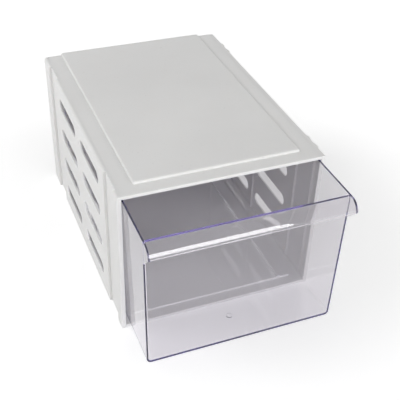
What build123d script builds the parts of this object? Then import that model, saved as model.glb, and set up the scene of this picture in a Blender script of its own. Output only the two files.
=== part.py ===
from build123d import *
from math import cos, radians, sin
import os

# Stackable drawer box for a workshop or craft bench. Five flat moulded panels
# peg together into a casing that is open at the front, and one clear drawer
# runs in it. Millimetres, +Z up, and the drawer pulls out towards -Y.
#
# Every piece is drawn with the casing's front edge at y = 0, its middle at
# x = 0 and the table at z = 0. The export then moves them all so that the
# origin is the middle of the whole footprint, drawer out as it is drawn here.

# casing
casing_width = 240.0          # over the outer faces of the two side walls
casing_depth = 330.0
rim_height = 187.0            # table to the rims round the raised panel
side_wall = 5.0               # a side panel over its inner ribs
side_skin = 2.2               # its outer skin between them
side_rib = 2.0
side_front_return = 2.5       # full-depth edge round the front opening
deck_rim = 4.0                # rims of the top and of the base
rear_wall = 3.0
rear_inset = 2.0              # rear panel stands this far inside the rear edges
edge_round = 0.8
left_top_round = 3.2
right_top_round = 0.8

# raised panel on top, and the recess below that takes the next box's panel
panel_rise = 2.8
panel_skin = 3.0
panel_side_margin = 23.0      # outer face of the side wall to the step
panel_front_margin = 17.0
panel_round = 2.3
recess_skin = 3.2
stack_gap = 0.6               # round the panel in the recess above it
stack_lift = 0.2              # above the panel in that recess

# upright links on the outside: channels on the left, tongues on the right
channel_width = 35.0
channel_depth = 3.0
front_channel_start = 15.0    # from the casing's front edge
rear_channel_inset = 28.0     # from the casing's rear edge
tongue_side_gap = 3.0
tongue_height = 2.0
tongue_slope = 2.5
tongue_groove = 17.0

# long slots through the skin of the side walls
slot_rows = 4
slot_columns = 2
slot_height = 16.0
slot_gap = 23.0               # between the two columns
slot_front_margin = 23.0      # from the front channel
slot_rear_margin = 15.0       # to the rear channel
slot_top_margin = 18.0        # from the rim down to the top row
slot_foot_margin = 21.0       # from the table up to the bottom row
slot_round = 0.6

# pegs that join the panels
peg_radius = 1.1
peg_length = 2.2
peg_gap = 0.1
peg_end_gap = 0.3
wall_pegs = 3                 # along the slotted part of a side wall
rear_pegs = 3                 # up each edge of the rear panel

# drawer
drawer_pull = 68.0            # how far out it stands as drawn
tray_wall = 2.0
tray_floor = 2.6
tray_side_gap = 0.6           # to the side wall, at the top edge
tray_top_gap = 1.1            # to the rims overhead
tray_rear_gap = 1.5           # to the rear panel when the front is flush
tray_taper = 2.4              # each side draws in by this much at the floor
tray_bottom_round = 5.5
tray_corner_round = 1.8
tray_rim_round = 0.7
rail_gap = 0.3
rail_height = 2.0
rail_width = 4.0
rail_spread = 172.0           # middle to middle

# curved lip across the drawer's front, open below for the fingers
lip_reach = 16.0
lip_radius = 14.0
lip_turn = 82.0               # degrees that it curves through
cheek_drop = 29.0             # lip's top down to the foot of its end cheeks

# stop: two lugs on the drawer's rear wall meet a rib below the top
lug_width = 24.0
lug_height = 2.7
lug_spread = 110.0
stop_rib_place = 60.0         # from the casing's front edge
stop_rib_width = 150.0
stop_rib_wall = 2.5

# moulding mark on the drawer's floor
nub_radius = 3.5
nub_height = 1.2
nub_from_front = 36.0

outer_half = casing_width / 2
inner_half = outer_half - side_wall
ceiling = rim_height - deck_rim
panel_half = outer_half - panel_side_margin
panel_top = rim_height + panel_rise
recess_half = panel_half + stack_gap
recess_height = panel_rise + stack_lift
recess_front = panel_front_margin - stack_gap
hump_half = recess_half + recess_skin
hump_front = recess_front - recess_skin
hump_top = recess_height + recess_skin
rear_wall_back = casing_depth - rear_inset
rear_wall_front = rear_wall_back - rear_wall
front_channel_end = front_channel_start + channel_width
rear_channel_end = casing_depth - rear_channel_inset
rear_channel_start = rear_channel_end - channel_width
slot_front_start = front_channel_end + slot_front_margin
slot_run = rear_channel_start - slot_rear_margin - slot_front_start
slot_length = (slot_run - slot_gap * (slot_columns - 1)) / slot_columns
slot_top = rim_height - slot_top_margin
slot_pitch = (slot_top - slot_height - slot_foot_margin) / (slot_rows - 1)

tray_front = -drawer_pull
tray_length = rear_wall_front - tray_rear_gap
tray_rear = tray_front + tray_length
tray_top = ceiling - tray_top_gap
tray_bottom = hump_top + rail_height + rail_gap
tray_half = inner_half - tray_side_gap
lip_front = tray_front - lip_reach
lip_root = tray_front + tray_corner_round
curve_start = lip_front + lip_radius * sin(radians(lip_turn))
curve_middle = tray_top - lip_radius


def block(x0, x1, y0, y1, z0, z1):
    size = Box(x1 - x0, y1 - y0, z1 - z0)
    return Pos((x0 + x1) / 2, (y0 + y1) / 2, (z0 + z1) / 2) * size


def sideways(points_face, x0, x1):
    """A face drawn as (y, z), carried along X from x0 to x1."""
    return extrude(Plane.YZ.offset(x0) * points_face, amount=x1 - x0)


def edge_pegs(side, places, radius, length, root):
    """Pegs along X at the (y, z) places, growing outwards from root on one side."""
    pegs = []
    for y, z in places:
        middle = side * (root + length / 2)
        pegs.append(Pos(middle, y, z) * Rot(0, 90, 0) * Cylinder(radius, length))
    return pegs


def deck_peg_rows():
    """Places along Y for the pegs of the top and the base."""
    slotted = rear_channel_start - front_channel_end
    rows = [front_channel_start / 2]
    for i in range(wall_pegs):
        rows.append(front_channel_end + slotted * (i + 0.5) / wall_pegs)
    rows.append((rear_channel_end + casing_depth) / 2)
    return rows


def top_peg_places():
    return [(y, rim_height - deck_rim / 2) for y in deck_peg_rows()]


def base_peg_places():
    return [(y, deck_rim / 2) for y in deck_peg_rows()]


def rear_peg_places():
    rise = ceiling - deck_rim
    middle = (rear_wall_front + rear_wall_back) / 2
    return [(middle, deck_rim + rise * (i + 0.5) / rear_pegs) for i in range(rear_pegs)]


def with_pegs(panel, places):
    for side in (-1, 1):
        panel += edge_pegs(side, places, peg_radius, peg_length, inner_half)
    return panel


def make_top_panel():
    rims = block(-inner_half, inner_half, 0, casing_depth, ceiling, rim_height)
    front_edge = rims.edges().filter_by(Axis.X).group_by(Axis.Y)[0]
    rims = fillet(front_edge, edge_round)
    raised = block(-panel_half, panel_half, panel_front_margin, casing_depth, ceiling, panel_top)
    front_corners = raised.edges().filter_by(Axis.Z).group_by(Axis.Y)[0]
    raised = fillet(front_corners, panel_round)
    upper = raised.faces().sort_by(Axis.Z)[-1].edges()
    raised = fillet(upper - upper.group_by(Axis.Y)[-1], panel_round)
    hollow = block(
        -panel_half + panel_skin, panel_half - panel_skin,
        panel_front_margin + panel_skin, rear_wall_front,
        ceiling, panel_top - panel_skin,
    )
    rib = block(
        -stop_rib_width / 2, stop_rib_width / 2,
        stop_rib_place, stop_rib_place + stop_rib_wall,
        ceiling, panel_top - panel_skin,
    )
    return with_pegs(rims + raised - hollow + rib, top_peg_places())


def make_base_panel():
    rims = block(-inner_half, inner_half, 0, casing_depth, 0, deck_rim)
    front_edge = rims.edges().filter_by(Axis.X).group_by(Axis.Y)[0]
    rims = fillet(front_edge, edge_round)
    hump = block(-hump_half, hump_half, hump_front, casing_depth, 0, hump_top)
    recess = block(-recess_half, recess_half, recess_front, casing_depth, 0, recess_height)
    panel = rims + hump - recess
    for side in (-1, 1):
        middle = side * rail_spread / 2
        panel += block(
            middle - rail_width / 2, middle + rail_width / 2,
            hump_front, rear_wall_front,
            recess_height, hump_top + rail_height,
        )
    return with_pegs(panel, base_peg_places())


def make_rear_panel():
    sheet = block(-inner_half, inner_half, rear_wall_front, rear_wall_back, deck_rim, ceiling)
    sheet -= block(-hump_half, hump_half, rear_wall_front, rear_wall_back, 0, hump_top)
    return with_pegs(sheet, rear_peg_places())


def slot_cutters(side):
    """Round-ended slots through the skin of one side wall."""
    shape = SlotOverall(slot_length, slot_height)
    cutters = []
    for column in range(slot_columns):
        start = slot_front_start + column * (slot_length + slot_gap)
        for row in range(slot_rows):
            z = slot_top - slot_height / 2 - row * slot_pitch
            face = Pos(start + slot_length / 2, z) * shape
            cutters.append(sideways(face, side * inner_half, side * outer_half))
    return cutters


def side_bays():
    """Runs along Y that are hollowed from the inside, down to the skin."""
    middle = (front_channel_end + rear_channel_start) / 2
    return [
        (side_front_return, front_channel_start - side_rib),
        (front_channel_end + side_rib, middle - side_rib / 2),
        (middle + side_rib / 2, rear_channel_start - side_rib),
        (rear_channel_end + side_rib, rear_wall_front - side_rib),
    ]


def hollow_out(wall, side, bays):
    foot = deck_rim + side_rib / 2
    head = ceiling - side_rib / 2
    x0, x1 = sorted((side * inner_half, side * (outer_half - side_skin)))
    for start, end in bays:
        wall -= block(x0, x1, start, end, foot, head)
    return wall


def make_side_blank(side, top_round):
    """A side wall, ribbed inside, with its slots and the blind peg holes."""
    x0, x1 = sorted((side * inner_half, side * outer_half))
    wall = block(x0, x1, 0, casing_depth, 0, rim_height)
    outer = wall.faces().sort_by(Axis.X)[0 if side < 0 else -1]
    upright = outer.edges().sort_by(Axis.Z)
    wall = fillet(upright[-1], top_round)
    outer = wall.faces().sort_by(Axis.X)[0 if side < 0 else -1]
    wall = fillet(outer.edges().sort_by(Axis.Z)[:-1], edge_round)
    wall -= slot_cutters(side)
    outer = wall.faces().sort_by(Axis.X)[0 if side < 0 else -1]
    slot_edges = [edge for loop in outer.inner_wires() for edge in loop.edges()]
    wall = hollow_out(fillet(slot_edges, slot_round), side, side_bays())
    places = top_peg_places() + base_peg_places() + rear_peg_places()
    depth = peg_length + peg_end_gap
    wall -= edge_pegs(side, places, peg_radius + peg_gap, depth, inner_half)
    return wall


def make_left_side():
    wall = make_side_blank(-1, left_top_round)
    for start in (front_channel_start, rear_channel_start):
        wall -= block(
            -outer_half, channel_depth - outer_half,
            start, start + channel_width, 0, rim_height,
        )
    return wall


def tongue_outline(start):
    """One tongue in plan: two sloped ribs with a groove down the middle."""
    near = start + tongue_side_gap
    far = start + channel_width - tongue_side_gap
    middle = (near + far) / 2
    face = outer_half
    tip = outer_half + tongue_height
    half_groove = tongue_groove / 2
    return Polyline(
        (face, near), (tip, near + tongue_slope),
        (tip, middle - half_groove), (face, middle),
        (tip, middle + half_groove), (tip, far - tongue_slope),
        (face, far),
        (face - side_skin / 2, far), (face - side_skin / 2, near),
        close=True,
    )


def make_right_side():
    wall = make_side_blank(1, right_top_round)
    starts = (front_channel_start, rear_channel_start)
    wall = hollow_out(wall, 1, [(start, start + channel_width) for start in starts])
    for start in starts:
        plan = make_face(tongue_outline(start))
        height = rim_height - edge_round - right_top_round
        wall += extrude(Pos(0, 0, edge_round) * plan, amount=height)
    return wall


def tray_section(inset, foot):
    """Tray in front view: sides drawn in towards a rounded floor."""
    drop = tray_top - foot
    slope = tray_taper / (tray_top - tray_bottom)
    top = tray_half - inset
    low = top - slope * drop
    outline = Polyline(
        (-top, tray_top), (-low, foot), (low, foot), (top, tray_top), close=True,
    )
    face = make_face(outline)
    floor_corners = face.vertices().group_by(Axis.Y)[0]
    return fillet(floor_corners, tray_bottom_round - inset)


def tray_body(inset, foot, y0, y1, corner):
    """The section carried from y0 to y1, its front and rear edges rounded."""
    body = extrude(Plane.XZ.offset(-y1) * tray_section(inset, foot), amount=y1 - y0)
    ends = body.faces().sort_by(Axis.Y)
    edges = ends[0].edges() + ends[-1].edges()
    below_rim = [e for e in edges if e.center().Z < tray_top - edge_round]
    return fillet(below_rim, corner)


def lip_foot(radius):
    """Where the curve of that radius ends, as (y, z)."""
    angle = radians(90 + lip_turn)
    return (curve_start + radius * cos(angle), curve_middle + radius * sin(angle))


def lip_sheet():
    """The lip in side view: a short flat, then the curve over and down."""
    centre = (curve_start, curve_middle)
    underside = tray_top - tray_wall
    inner = lip_radius - tray_wall
    path = [
        Line((lip_root, tray_top), (curve_start, tray_top)),
        CenterArc(centre, lip_radius, 90, lip_turn),
        Line(lip_foot(lip_radius), lip_foot(inner)),
        CenterArc(centre, inner, 90, lip_turn),
        Line((curve_start, underside), (lip_root, underside)),
        Line((lip_root, underside), (lip_root, tray_top)),
    ]
    return make_face(path)


def lip_cheek():
    """End of the lip in side view, filled down to the front wall."""
    foot = tray_top - cheek_drop
    path = [
        Line((lip_root, tray_top), (curve_start, tray_top)),
        CenterArc((curve_start, curve_middle), lip_radius, 90, lip_turn),
        Line(lip_foot(lip_radius), (tray_front, foot)),
        Line((tray_front, foot), (lip_root, foot)),
        Line((lip_root, foot), (lip_root, tray_top)),
    ]
    return make_face(path)


def make_lip():
    """The lip with its two end cheeks, within the tray's own taper."""
    lip = sideways(lip_sheet(), -tray_half, tray_half)
    for x0 in (-tray_half, tray_half - tray_wall):
        lip += sideways(lip_cheek(), x0, x0 + tray_wall)
    span = tray_length + lip_reach
    return lip & extrude(Plane.XZ.offset(-tray_rear) * tray_section(0, tray_bottom), amount=span)


def round_rim(tray):
    """Rounds the rim inside and out, and on over the two ends of the lip."""
    rim = tray.faces().sort_by(Axis.Z)[-1].edges()
    over_the_curve = [
        edge for edge in tray.edges()
        if abs(edge.center().X) > tray_half - tray_wall / 2
        and edge.center().Y < curve_start
        and edge.center().Z > lip_foot(lip_radius)[1]
    ]
    return fillet(rim - rim.group_by(Axis.Y)[0] + over_the_curve, tray_rim_round)


def make_drawer_tray():
    tray = tray_body(0, tray_bottom, tray_front, tray_rear, tray_corner_round)
    tray -= tray_body(
        tray_wall, tray_bottom + tray_floor,
        tray_front + tray_wall, tray_rear - tray_wall, tray_corner_round / 2,
    )
    tray = round_rim(tray + make_lip())
    for side in (-1, 1):
        middle = side * lug_spread / 2
        tray += block(
            middle - lug_width / 2, middle + lug_width / 2,
            tray_rear - tray_wall, tray_rear,
            tray_top - tray_wall, tray_top + lug_height,
        )
    floor_top = tray_bottom + tray_floor
    nub = Cylinder(nub_radius, 2 * nub_height)
    return tray + Pos(0, tray_front + nub_from_front, floor_top) * nub


pieces = {
    "top_panel": make_top_panel,
    "base_panel": make_base_panel,
    "rear_panel": make_rear_panel,
    "left_side_panel": make_left_side,
    "right_side_panel": make_right_side,
    "drawer_tray": make_drawer_tray,
}

footprint_middle_x = tongue_height / 2
footprint_middle_y = (casing_depth + lip_front) / 2
to_footprint_middle = Location((-footprint_middle_x, -footprint_middle_y, 0))

os.makedirs("parts", exist_ok=True)
for name, make in pieces.items():
    export_step(make().moved(to_footprint_middle), f"parts/{name}.step")
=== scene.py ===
import math

import bmesh
import bpy
from mathutils import Matrix, Vector

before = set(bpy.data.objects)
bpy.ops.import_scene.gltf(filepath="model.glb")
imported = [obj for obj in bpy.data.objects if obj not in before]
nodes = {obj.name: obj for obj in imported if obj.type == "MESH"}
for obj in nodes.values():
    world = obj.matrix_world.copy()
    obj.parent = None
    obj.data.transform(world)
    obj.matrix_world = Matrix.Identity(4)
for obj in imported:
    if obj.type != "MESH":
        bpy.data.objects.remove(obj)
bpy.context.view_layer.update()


# ---------------------------------------------------------------- casing panels
# Five flat panels of pale polystyrene, injection moulded with a fine satin
# surface, that peg together: base, two side walls, rear and top. The moulds
# leave a faint orange peel, and handling rubs the edges and leaves scuffs.
casing_tone = (0.800, 0.798, 0.790, 1.0)
casing_cloud_tone = (0.768, 0.765, 0.757, 1.0)
casing_worn_tone = (0.830, 0.828, 0.820, 1.0)
casing_dust_tone = (0.600, 0.590, 0.570, 1.0)
casing_ior = 1.5
casing_shine = 0.38
casing_roughness = (0.38, 0.56)
scuff_roughness = 0.12
glow_share = 0.6                     # of the light, a little way into the plastic
glow_depth = 0.002
glow_by_colour = (1.0, 0.97, 0.93)
edge_reach = 0.0003                  # how far from an edge it is rubbed
edge_samples = 4
peel_height = 0.0004
scratch_depth = 0.0002
pattern_shift = (1.0, 0.37, 0.71)    # from one panel's patterns to the next one's
streak_turn = 0.13                   # radians from one panel to the next
streak_scale = (520.0, 14.0, 520.0)


def mottle(tree, spot, scale, detail):
    """A random mottle, finer with a larger scale: gives its strength."""
    noise = tree.nodes.new("ShaderNodeTexNoise")
    noise.inputs["Scale"].default_value = scale
    noise.inputs["Detail"].default_value = detail
    tree.links.new(spot, noise.inputs["Vector"])
    return noise.outputs["Fac"]


def stretched(tree, spot, scale, turn=0.0):
    """Draws a mottle out into streaks, turned by that angle about Z."""
    drawn_out = tree.nodes.new("ShaderNodeMapping")
    drawn_out.inputs["Rotation"].default_value = (0.0, 0.0, turn)
    drawn_out.inputs["Scale"].default_value = scale
    tree.links.new(spot, drawn_out.inputs["Vector"])
    return drawn_out.outputs["Vector"]


def share_between(tree, value, start, end, low=0.0, high=1.0):
    """How far a value lies from start to end, given as low to high."""
    share = tree.nodes.new("ShaderNodeMapRange")
    share.inputs["From Min"].default_value = start
    share.inputs["From Max"].default_value = end
    share.inputs["To Min"].default_value = low
    share.inputs["To Max"].default_value = high
    tree.links.new(value, share.inputs["Value"])
    return share.outputs["Result"]


def together(tree, operation, first, second):
    """Adds or multiplies two strengths, or takes the larger one."""
    joined = tree.nodes.new("ShaderNodeMath")
    joined.operation = operation
    tree.links.new(first, joined.inputs[0])
    tree.links.new(second, joined.inputs[1])
    return joined.outputs["Value"]


def lay_tone(tree, share, under, over):
    """Lays one tone over another by share: under may be a tone or a mixture."""
    mixture = tree.nodes.new("ShaderNodeMix")
    mixture.data_type = "RGBA"
    mixture.inputs["B"].default_value = over
    tree.links.new(share, mixture.inputs["Factor"])
    if isinstance(under, tuple):
        mixture.inputs["A"].default_value = under
    else:
        tree.links.new(under, mixture.inputs["A"])
    return mixture.outputs["Result"]


def raised(tree, pattern, strength, height, over=None, sunk=False):
    """Raises or sinks the surface by a pattern: gives the way it then faces."""
    relief = tree.nodes.new("ShaderNodeBump")
    relief.invert = sunk
    relief.inputs["Strength"].default_value = strength
    relief.inputs["Distance"].default_value = height
    tree.links.new(pattern, relief.inputs["Height"])
    if over is not None:
        tree.links.new(over, relief.inputs["Normal"])
    return relief.outputs["Normal"]


def rounded_edges(tree):
    """The way the surface faces with its edges rounded, and how near one is."""
    rounding = tree.nodes.new("ShaderNodeBevel")
    rounding.samples = edge_samples
    rounding.inputs["Radius"].default_value = edge_reach
    face = tree.nodes.new("ShaderNodeNewGeometry")
    lean = tree.nodes.new("ShaderNodeVectorMath")
    lean.operation = "DOT_PRODUCT"
    tree.links.new(rounding.outputs["Normal"], lean.inputs[0])
    tree.links.new(face.outputs["True Normal"], lean.inputs[1])
    nearness = share_between(tree, lean.outputs["Value"], start=1.0, end=0.80)
    return rounding.outputs["Normal"], nearness


def satin_plastic(name, panel_number):
    """Off-white moulded plastic: cloudy tone, rubbed edges, dust, scuffs, grain."""
    material = bpy.data.materials.new(name)
    material.use_nodes = True
    tree = material.node_tree
    shader = tree.nodes["Principled BSDF"]
    shader.inputs["IOR"].default_value = casing_ior
    shader.inputs["Specular IOR Level"].default_value = casing_shine
    shader.inputs["Subsurface Weight"].default_value = glow_share
    shader.inputs["Subsurface Radius"].default_value = glow_by_colour
    shader.inputs["Subsurface Scale"].default_value = glow_depth
    place = tree.nodes.new("ShaderNodeTexCoord")
    shift = tree.nodes.new("ShaderNodeMapping")
    shift.inputs["Location"].default_value = [part * panel_number for part in pattern_shift]
    tree.links.new(place.outputs["Object"], shift.inputs["Vector"])
    spot = shift.outputs["Vector"]

    # tone: slow clouds from the melt's flow, paler where edges are rubbed, dust specks
    clouds = share_between(tree, mottle(tree, spot, scale=9.0, detail=4.0), start=0.3, end=0.65)
    tone = lay_tone(tree, clouds, casing_cloud_tone, casing_tone)
    rounded, edge = rounded_edges(tree)
    rubbed = together(tree, "MULTIPLY", edge, mottle(tree, spot, scale=45.0, detail=6.0))
    tone = lay_tone(tree, rubbed, tone, casing_worn_tone)
    specks = mottle(tree, spot, scale=420.0, detail=1.0)
    dust = share_between(tree, specks, start=0.72, end=0.80, high=0.5)
    tone = lay_tone(tree, dust, tone, casing_dust_tone)
    tree.links.new(tone, shader.inputs["Base Color"])

    # scuffs: fine streaks along the way that the boxes are pushed
    streak_spot = stretched(tree, spot, streak_scale, streak_turn * panel_number)
    streaks = mottle(tree, streak_spot, scale=1.0, detail=2.0)
    scuffs = share_between(tree, streaks, start=0.66, end=0.74, high=scuff_roughness)
    dulling = mottle(tree, spot, scale=60.0, detail=3.0)
    satin = share_between(tree, dulling, 0.0, 1.0, *casing_roughness)
    tree.links.new(together(tree, "ADD", satin, scuffs), shader.inputs["Roughness"])

    # relief: the mould's orange peel, and the scuffs cut into it
    grain = mottle(tree, spot, scale=900.0, detail=2.0)
    peel = raised(tree, grain, strength=0.12, height=peel_height, over=rounded)
    scratched = raised(tree, scuffs, strength=0.25, height=scratch_depth, over=peel, sunk=True)
    tree.links.new(scratched, shader.inputs["Normal"])
    return material


panel_order = ["base_panel", "left_side_panel", "right_side_panel", "rear_panel", "top_panel"]
for panel_number, panel in enumerate(panel_order, start=1):
    nodes[panel].data.materials.clear()
    nodes[panel].data.materials.append(satin_plastic(panel + "_plastic", panel_number))


# ----------------------------------------------------------------- drawer tray
# One moulding of clear polystyrene, polished by its mould, with a faint violet
# toner that only shows where light runs along the sheet and out at an edge.
clear_tone = (0.900, 0.893, 0.900, 1.0)
clear_smear_tone = (0.885, 0.875, 0.882, 1.0)
clear_ior = 1.59
smear_roughness = 0.05
hairline_roughness = 0.15
hairline_scale = (700.0, 18.0, 700.0)
ripple_height = 0.0006
toner_tone = (0.30, 0.12, 0.85, 1.0)
toner_density = 9.0
light_through_tone = (0.96, 0.96, 0.96, 1.0)
lamp_rays = ("Is Shadow Ray", "Is Diffuse Ray")
sheet_bounces = 128                  # light runs far along the sheet before it leaves
clear_layers = 32


def for_rays(tree, kinds):
    """1 for rays of those kinds and 0 for all others."""
    path = tree.nodes.new("ShaderNodeLightPath")
    found = path.outputs[kinds[0]]
    for kind in kinds[1:]:
        found = together(tree, "MAXIMUM", found, path.outputs[kind])
    return found


def clear_plastic(name):
    """Clear polystyrene: glassy, smeared by fingers, finely scratched."""
    material = bpy.data.materials.new(name)
    material.use_nodes = True
    tree = material.node_tree
    output = tree.nodes["Material Output"]
    shader = tree.nodes["Principled BSDF"]
    shader.inputs["Transmission Weight"].default_value = 1.0
    shader.inputs["IOR"].default_value = clear_ior
    spot = tree.nodes.new("ShaderNodeTexCoord").outputs["Object"]

    # finger smears and a haze of wiping
    smears = mottle(tree, spot, scale=14.0, detail=3.0)
    haze = share_between(tree, smears, start=0.35, end=0.75, high=smear_roughness)
    tone = lay_tone(tree, smears, clear_tone, clear_smear_tone)
    tree.links.new(tone, shader.inputs["Base Color"])

    # hairline scratches along the way that the drawer slides
    streaks = mottle(tree, stretched(tree, spot, hairline_scale), scale=1.0, detail=1.0)
    hairlines = share_between(tree, streaks, start=0.70, end=0.76, high=hairline_roughness)
    tree.links.new(together(tree, "ADD", haze, hairlines), shader.inputs["Roughness"])

    # slow ripples left by the moulding
    ripples = mottle(tree, spot, scale=18.0, detail=1.0)
    waves = raised(tree, ripples, strength=0.05, height=ripple_height)
    tree.links.new(waves, shader.inputs["Normal"])

    # the lamps' light passes the sheet as a pale filter, and so reaches the inside
    let_through = tree.nodes.new("ShaderNodeBsdfTransparent")
    let_through.inputs["Color"].default_value = light_through_tone
    choice = tree.nodes.new("ShaderNodeMixShader")
    tree.links.new(for_rays(tree, lamp_rays), choice.inputs["Fac"])
    tree.links.new(shader.outputs["BSDF"], choice.inputs[1])
    tree.links.new(let_through.outputs["BSDF"], choice.inputs[2])
    tree.links.new(choice.outputs["Shader"], output.inputs["Surface"])

    # the toner inside the sheet
    toner = tree.nodes.new("ShaderNodeVolumeAbsorption")
    toner.inputs["Color"].default_value = toner_tone
    toner.inputs["Density"].default_value = toner_density
    tree.links.new(toner.outputs["Volume"], output.inputs["Volume"])
    return material


bpy.context.scene.cycles.max_bounces = sheet_bounces
bpy.context.scene.cycles.glossy_bounces = sheet_bounces
bpy.context.scene.cycles.transmission_bounces = sheet_bounces
bpy.context.scene.cycles.transparent_max_bounces = clear_layers

nodes["drawer_tray"].data.materials.clear()
nodes["drawer_tray"].data.materials.append(clear_plastic("drawer_polystyrene"))


# ------------------------------------------------------------ floor and backdrop
# A plain pale sweep. To the camera, in reflections and through the clear drawer
# it is white with the casing's soft shadow; to other light it is a pale card.
floor_half = 6.0
floor_drop = 0.0002                  # below the feet, so that the faces don't meet
floor_card = (0.80, 0.80, 0.80, 1.0)
white_card = (0.86, 0.86, 0.86, 1.0)
glow_reach = 4.0
glow_stops = [(0.22, 0.33), (0.50, 0.50), (3.5, 0.80)]    # metres out, strength
room_white = (1.0, 1.0, 1.0, 1.0)
room_level = 0.25
viewing_rays = ("Is Camera Ray", "Is Glossy Ray", "Is Transmission Ray")


def glow_by_distance(tree):
    """The sweep's own glow: faint by the object, so that the shadow shows."""
    place = tree.nodes.new("ShaderNodeTexCoord")
    distance = tree.nodes.new("ShaderNodeVectorMath")
    distance.operation = "LENGTH"
    tree.links.new(place.outputs["Object"], distance.inputs[0])
    share = tree.nodes.new("ShaderNodeMath")
    share.operation = "DIVIDE"
    share.inputs[1].default_value = glow_reach
    tree.links.new(distance.outputs["Value"], share.inputs[0])
    fade = tree.nodes.new("ShaderNodeValToRGB")
    fade.color_ramp.elements.remove(fade.color_ramp.elements[1])
    for metres, strength in glow_stops:
        stop = fade.color_ramp.elements.new(metres / glow_reach)
        stop.color = (strength, strength, strength, 1.0)
    fade.color_ramp.elements.remove(fade.color_ramp.elements[0])
    tree.links.new(share.outputs["Value"], fade.inputs["Fac"])
    return fade.outputs["Color"]


def pale_paper(name):
    """White with a shadow to the viewer, a pale card to the light in the room."""
    material = bpy.data.materials.new(name)
    material.use_nodes = True
    tree = material.node_tree
    tree.nodes.remove(tree.nodes["Principled BSDF"])
    card = tree.nodes.new("ShaderNodeBsdfDiffuse")
    card.inputs["Color"].default_value = floor_card
    shaded = tree.nodes.new("ShaderNodeBsdfDiffuse")
    shaded.inputs["Color"].default_value = white_card
    glow = tree.nodes.new("ShaderNodeEmission")
    tree.links.new(glow_by_distance(tree), glow.inputs["Strength"])
    lit = tree.nodes.new("ShaderNodeAddShader")
    tree.links.new(shaded.outputs["BSDF"], lit.inputs[0])
    tree.links.new(glow.outputs["Emission"], lit.inputs[1])
    choice = tree.nodes.new("ShaderNodeMixShader")
    tree.links.new(for_rays(tree, viewing_rays), choice.inputs["Fac"])
    tree.links.new(card.outputs["BSDF"], choice.inputs[1])
    tree.links.new(lit.outputs["Shader"], choice.inputs[2])
    tree.links.new(choice.outputs["Shader"], tree.nodes["Material Output"].inputs["Surface"])
    return material


mesh = bmesh.new()
below_feet = Matrix.Translation((0.0, 0.0, -floor_drop))
bmesh.ops.create_grid(mesh, x_segments=1, y_segments=1, size=floor_half, matrix=below_feet)
floor_mesh = bpy.data.meshes.new("floor")
mesh.to_mesh(floor_mesh)
mesh.free()
floor = bpy.data.objects.new("floor", floor_mesh)
bpy.context.scene.collection.objects.link(floor)
floor.data.materials.append(pale_paper("pale_sweep"))

world = bpy.data.worlds.new("studio")
bpy.context.scene.world = world
world.use_nodes = True
room = world.node_tree.nodes["Background"]
room.inputs["Color"].default_value = room_white
seen = for_rays(world.node_tree, viewing_rays)
level = share_between(world.node_tree, seen, 0.0, 1.0, low=room_level)
world.node_tree.links.new(level, room.inputs["Strength"])


# ------------------------------------------------------------------------ lamps
# Four soft boxes: one close by, behind on the left, a weaker one on the right, a
# narrow one low in front that runs along the drawer's lip, and one on the
# camera's side.
lamp_aim = Vector((0.0, -0.05, 0.09))


def soft_box(name, heading, height, distance, wide, tall, level):
    """A lamp that lights a facing white card at level: height is in degrees."""
    light = bpy.data.lights.new(name, "AREA")
    light.shape = "RECTANGLE"
    light.size = wide
    light.size_y = tall
    light.energy = level * (math.pi * distance) ** 2
    lamp = bpy.data.objects.new(name, light)
    bpy.context.scene.collection.objects.link(lamp)
    flat = Vector(heading).normalized() * math.cos(math.radians(height))
    away = Vector((flat.x, flat.y, math.sin(math.radians(height))))
    lamp.location = lamp_aim + away * distance
    lamp.rotation_euler = away.to_track_quat("Z", "Y").to_euler()
    lamp.visible_camera = False


soft_box("left_soft_box", (-0.92, 0.40), height=34, distance=1.7, wide=0.9, tall=0.9, level=0.37)
soft_box("right_soft_box", (0.82, -0.57), height=24, distance=4.0, wide=2.0, tall=2.0, level=0.25)
soft_box("front_strip_box", (0.26, -0.966), height=12, distance=4.0, wide=1.3, tall=2.2, level=0.36)
soft_box("camera_soft_box", (-0.50, -0.87), height=32, distance=4.0, wide=2.0, tall=2.0, level=0.31)


# ----------------------------------------------------------------------- camera
# Above the front left corner, tilted a little, as the photograph was taken.
photo_width = 400.0
focal_pixels = 768.2
principal = Vector((200.8, 223.2))
camera_place = Vector((-0.28344, -0.72737, 0.64913))
camera_aim = Vector((-0.02747, -0.12300, 0.13076))
camera_roll = math.radians(2.24)
film_width = 36.0

lens = bpy.data.cameras.new("camera")
lens.sensor_width = film_width
lens.lens = focal_pixels / photo_width * film_width
lens.shift_x = (photo_width / 2 - principal.x) / photo_width
lens.shift_y = (principal.y - photo_width / 2) / photo_width
camera = bpy.data.objects.new("camera", lens)
bpy.context.scene.collection.objects.link(camera)
back = (camera_place - camera_aim).normalized()
level_right = Vector((0, 0, 1)).cross(back).normalized()
level_up = back.cross(level_right)
right = level_right * math.cos(camera_roll) + level_up * math.sin(camera_roll)
up = back.cross(right)
turn = Matrix((right, up, back)).transposed().to_4x4()
camera.matrix_world = Matrix.Translation(camera_place) @ turn
bpy.context.scene.camera = camera
bpy.context.scene.view_settings.view_transform = "Standard"
